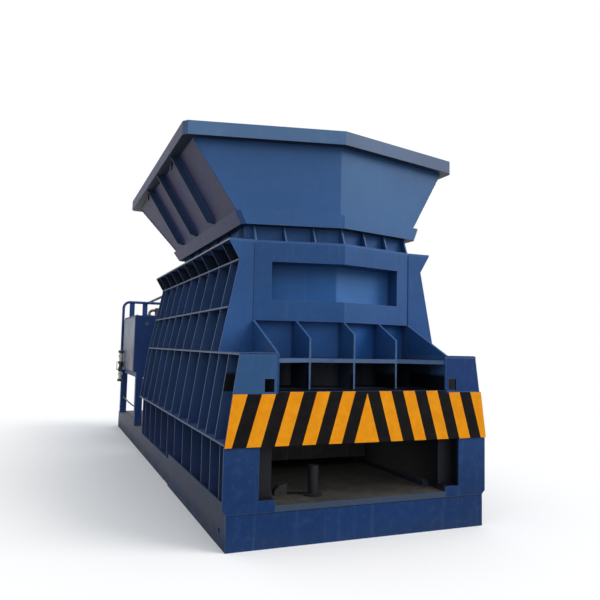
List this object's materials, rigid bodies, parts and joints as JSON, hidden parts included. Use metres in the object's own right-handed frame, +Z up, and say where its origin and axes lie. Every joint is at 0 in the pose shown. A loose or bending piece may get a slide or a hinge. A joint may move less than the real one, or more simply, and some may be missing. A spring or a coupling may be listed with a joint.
{
  "type": "container scrap metal shear",
  "caption": "Skid-mounted guillotine shear for scrap metal with a flared hopper, ribbed box, sliding knife carriage and hydraulic power unit.",
  "frame": {"origin": "centre of the bounding box at the bottom of the skid", "axes": "+X to the machine's right seen from the outlet, +Y from the outlet to the power unit, +Z up"},
  "size_m": [2.94, 7.616, 3.62],
  "materials": {
    "black_plastic": "matt",
    "black_rubber": "matt",
    "blue_paint": "satin",
    "bolt_steel": "dull",
    "bronze_pad": "dull",
    "dark_paint": "satin",
    "floor_steel": "dusty",
    "grey_paint": "satin",
    "hazard_face": "matt",
    "knife_steel": "ground",
    "motor_paint": "satin",
    "pipe_steel": "dull",
    "red_plastic": "gloss",
    "rod_chrome": "polished"
  },
  "bodies": {
    "frame": {"base_skid": "blue_paint", "chamber_floor": "floor_steel", "lower_front_plates": "blue_paint", "upper_front_strips": "blue_paint", "front_beam": "hazard_face", "v_front_frame": "blue_paint", "v_recess_panel": "blue_paint", "v_lower_wall": "blue_paint", "front_gussets": "blue_paint", "front_shelf": "blue_paint", "front_inner_wall": "dark_paint", "top_deck": "blue_paint", "neck_skirt": "blue_paint", "neck_gussets": "blue_paint", "hopper_front_panel": "blue_paint", "hopper_side_panels": "blue_paint", "hopper_rear_panel": "blue_paint", "hopper_collar": "blue_paint", "hopper_rim": "blue_paint", "hopper_ribs": "blue_paint", "fixed_knife_beam": "dark_paint", "fixed_knives": "knife_steel", "fixed_knife_bolts": "bolt_steel", "rear_apron": "dark_paint", "rear_wall": "dark_paint", "main_cylinders": "dark_paint", "floor_fittings": "blue_paint", "power_stand": "blue_paint", "oil_tank": "blue_paint", "tank_lid": "blue_paint", "tank_side_panel": "grey_paint", "tank_railing": "blue_paint", "steel_pipes": "pipe_steel", "valve_block": "pipe_steel", "motor_housing": "motor_paint", "pump": "motor_paint", "cabinet_body": "grey_paint", "drain_valve": "pipe_steel", "drain_hose": "black_rubber", "right_box_wall": "dark_paint", "left_box_wall": "dark_paint", "right_stringers": "dark_paint", "left_stringers": "dark_paint", "right_side_ribs": "dark_paint", "left_side_ribs": "dark_paint", "right_front_leg": "blue_paint", "left_front_leg": "blue_paint"},
    "carriage": {"knife_carriage": "dark_paint", "moving_knives": "knife_steel", "moving_knife_bolts": "bolt_steel", "carriage_pads": "bronze_pad", "cylinder_rods": "rod_chrome"},
    "rotor": {"motor_rotor": "bolt_steel"},
    "door": {"cabinet_door": "grey_paint"},
    "handle": {"door_handle": "black_plastic"},
    "button": {"stop_button": "red_plastic"},
    "lever_1": {"valve_lever_1": "black_plastic"},
    "lever_2": {"valve_lever_2": "black_plastic"},
    "drain_lever": {"drain_handle": "black_plastic"},
    "cap": {"filler_cap": "black_plastic"}
  },
  "joints": [
    {"name": "carriage_slide", "type": "slide", "parent": "frame", "child": "carriage", "axis": [0, 1, 0], "range_m": [-0.73, 0.97]},
    {"name": "motor_spin", "type": "hinge", "parent": "frame", "child": "rotor", "pos_m": [0, 2.068, 0.52], "axis": [0, 1, 0], "continuous": true},
    {"name": "cabinet_door_hinge", "type": "hinge", "parent": "frame", "child": "door", "pos_m": [1.164, 1.61, 1.54], "axis": [0, 0, -1], "range_deg": [0, 110]},
    {"name": "door_handle_turn", "type": "hinge", "parent": "door", "child": "handle", "pos_m": [1.18, 2.158, 1.56], "axis": [1, 0, 0], "range_deg": [0, 90]},
    {"name": "stop_button_press", "type": "slide", "parent": "door", "child": "button", "axis": [-1, 0, 0], "range_m": [0, 0.006], "stiffness_N_per_m": 1500},
    {"name": "valve_lever_1_tilt", "type": "hinge", "parent": "frame", "child": "lever_1", "pos_m": [-0.4, 1.868, 2.202], "axis": [1, 0, 0], "range_deg": [-20, 20]},
    {"name": "valve_lever_2_tilt", "type": "hinge", "parent": "frame", "child": "lever_2", "pos_m": [-0.16, 1.868, 2.202], "axis": [1, 0, 0], "range_deg": [-20, 20]},
    {"name": "drain_handle_turn", "type": "hinge", "parent": "frame", "child": "drain_lever", "pos_m": [-1.31, 2.908, 1.11], "axis": [1, 0, 0], "range_deg": [0, 90]},
    {"name": "filler_cap_turn", "type": "hinge", "parent": "frame", "child": "cap", "pos_m": [-0.2, 2.508, 2.09], "axis": [0, 0, 1], "range_deg": [0, 90]}
  ]
}
